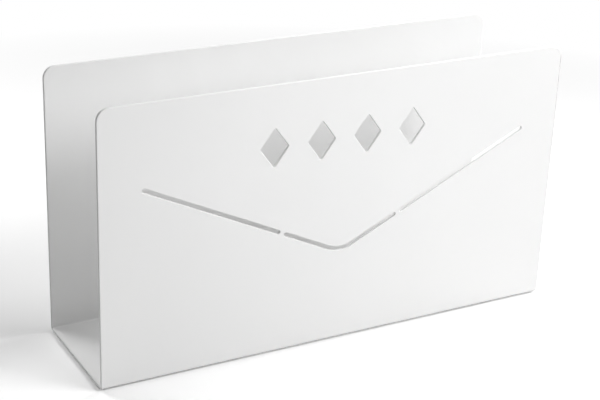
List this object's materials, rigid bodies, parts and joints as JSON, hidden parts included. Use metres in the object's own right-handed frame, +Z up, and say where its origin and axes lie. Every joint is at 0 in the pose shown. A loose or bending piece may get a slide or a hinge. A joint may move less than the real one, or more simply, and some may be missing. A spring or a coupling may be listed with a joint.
{
  "type": "letter holder",
  "caption": "Free-standing desk letter holder folded from one steel sheet into an open-ended U, its front panel cut with an envelope-flap line and a row of lozenges.",
  "frame": {"origin": "under the middle of the holder, in the plane of the pads' undersides that it stands on", "axes": "+X along the width, to the right as seen from the front; -Y out of the front panel with the cut-outs, +Y out of the plain back panel; +Z up"},
  "size_m": [0.25, 0.068, 0.138],
  "materials": {
    "powder_coat": "satin",
    "foot_pad": "matte"
  },
  "bodies": {
    "root": {"folded_body": "powder_coat", "foot_pad_front_left": "foot_pad", "foot_pad_front_right": "foot_pad", "foot_pad_rear_left": "foot_pad", "foot_pad_rear_right": "foot_pad"}
  },
  "joints": []
}
